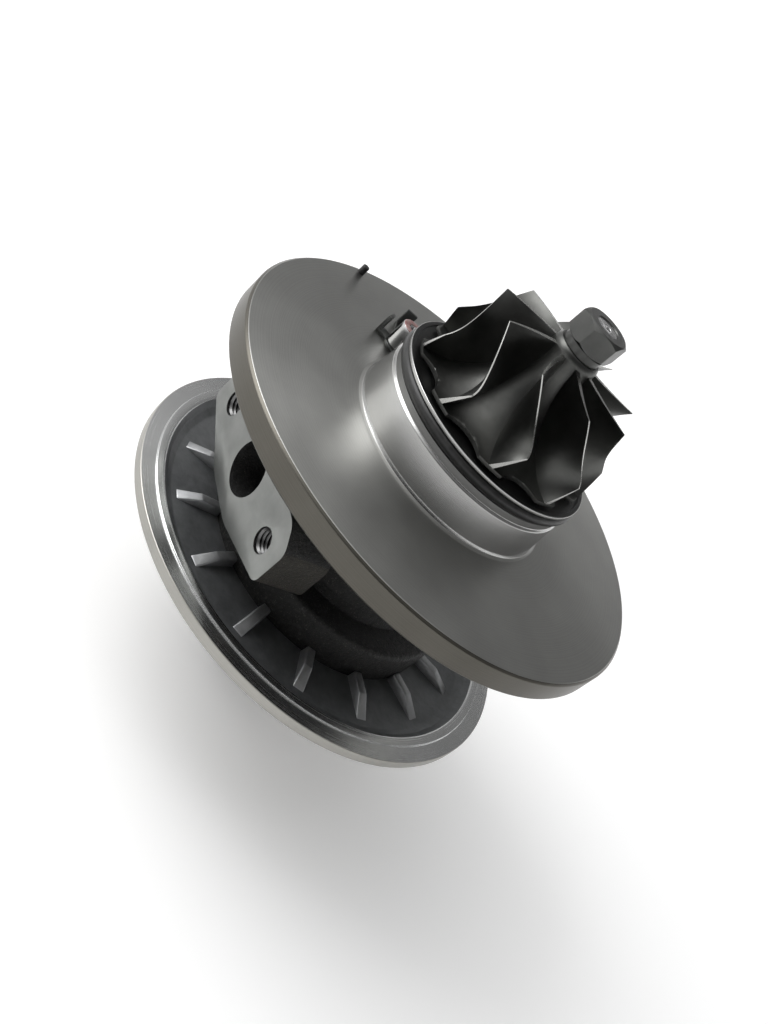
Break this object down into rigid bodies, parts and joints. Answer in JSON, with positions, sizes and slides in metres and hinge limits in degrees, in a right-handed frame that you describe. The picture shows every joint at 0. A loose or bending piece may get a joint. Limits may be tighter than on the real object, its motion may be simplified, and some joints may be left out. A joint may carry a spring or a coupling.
{
  "type": "turbocharger cartridge",
  "caption": "Turbocharger centre section: a shaft with compressor and turbine wheels in a cast bearing housing, with a round backplate, oil drain pad and turbine flange.",
  "frame": {"origin": "on the shaft axis, in the plane of the flange face that seats on the turbine housing", "axes": "+Z along the shaft towards the compressor wheel, -Y through the oil drain pad"},
  "size_m": [0.114, 0.114, 0.123],
  "materials": {
    "housing_iron": "rough cast, blackened",
    "flange_cast": "fine cast with a machined rim",
    "shield_sheet": "pressed sheet",
    "backplate_steel": "fine turned",
    "seal_rubber": "satin black",
    "fastener_steel": "satin",
    "bearing_bronze": "fine turned",
    "turbine_alloy": "fine cast",
    "shaft_steel": "ground",
    "wheel_aluminium": "dark satin, bright edges",
    "nut_steel": "dark satin"
  },
  "bodies": {
    "housing": {"bearing_housing": "housing_iron", "turbine_flange": "flange_cast", "heat_shield": "shield_sheet", "compressor_backplate": "backplate_steel", "boss_seal_ring": "seal_rubber", "face_seal_ring": "seal_rubber", "front_screw": "fastener_steel", "lock_plate": "fastener_steel", "rim_dowel": "fastener_steel", "backplate_bolts": "fastener_steel", "thrust_bearing": "bearing_bronze", "oil_deflector": "shield_sheet", "turbine_piston_ring": "fastener_steel", "compressor_piston_ring": "fastener_steel", "snap_rings": "fastener_steel"},
    "rotor": {"turbine_wheel": "turbine_alloy", "rotor_shaft": "shaft_steel", "thrust_collar": "shaft_steel", "oil_flinger": "shaft_steel", "compressor_wheel": "wheel_aluminium", "compressor_nut": "nut_steel"},
    "turbine_end_bush": {"turbine_bush": "bearing_bronze"},
    "compressor_end_bush": {"compressor_bush": "bearing_bronze"}
  },
  "joints": [
    {"name": "rotor_spin", "type": "hinge", "parent": "housing", "child": "rotor", "pos_m": [0, 0, 0], "axis": [0, 0, 1], "continuous": true},
    {"name": "turbine_bush_spin", "type": "hinge", "parent": "housing", "child": "turbine_end_bush", "pos_m": [0, 0, 0], "axis": [0, 0, 1], "continuous": true},
    {"name": "compressor_bush_spin", "type": "hinge", "parent": "housing", "child": "compressor_end_bush", "pos_m": [0, 0, 0], "axis": [0, 0, 1], "continuous": true}
  ]
}
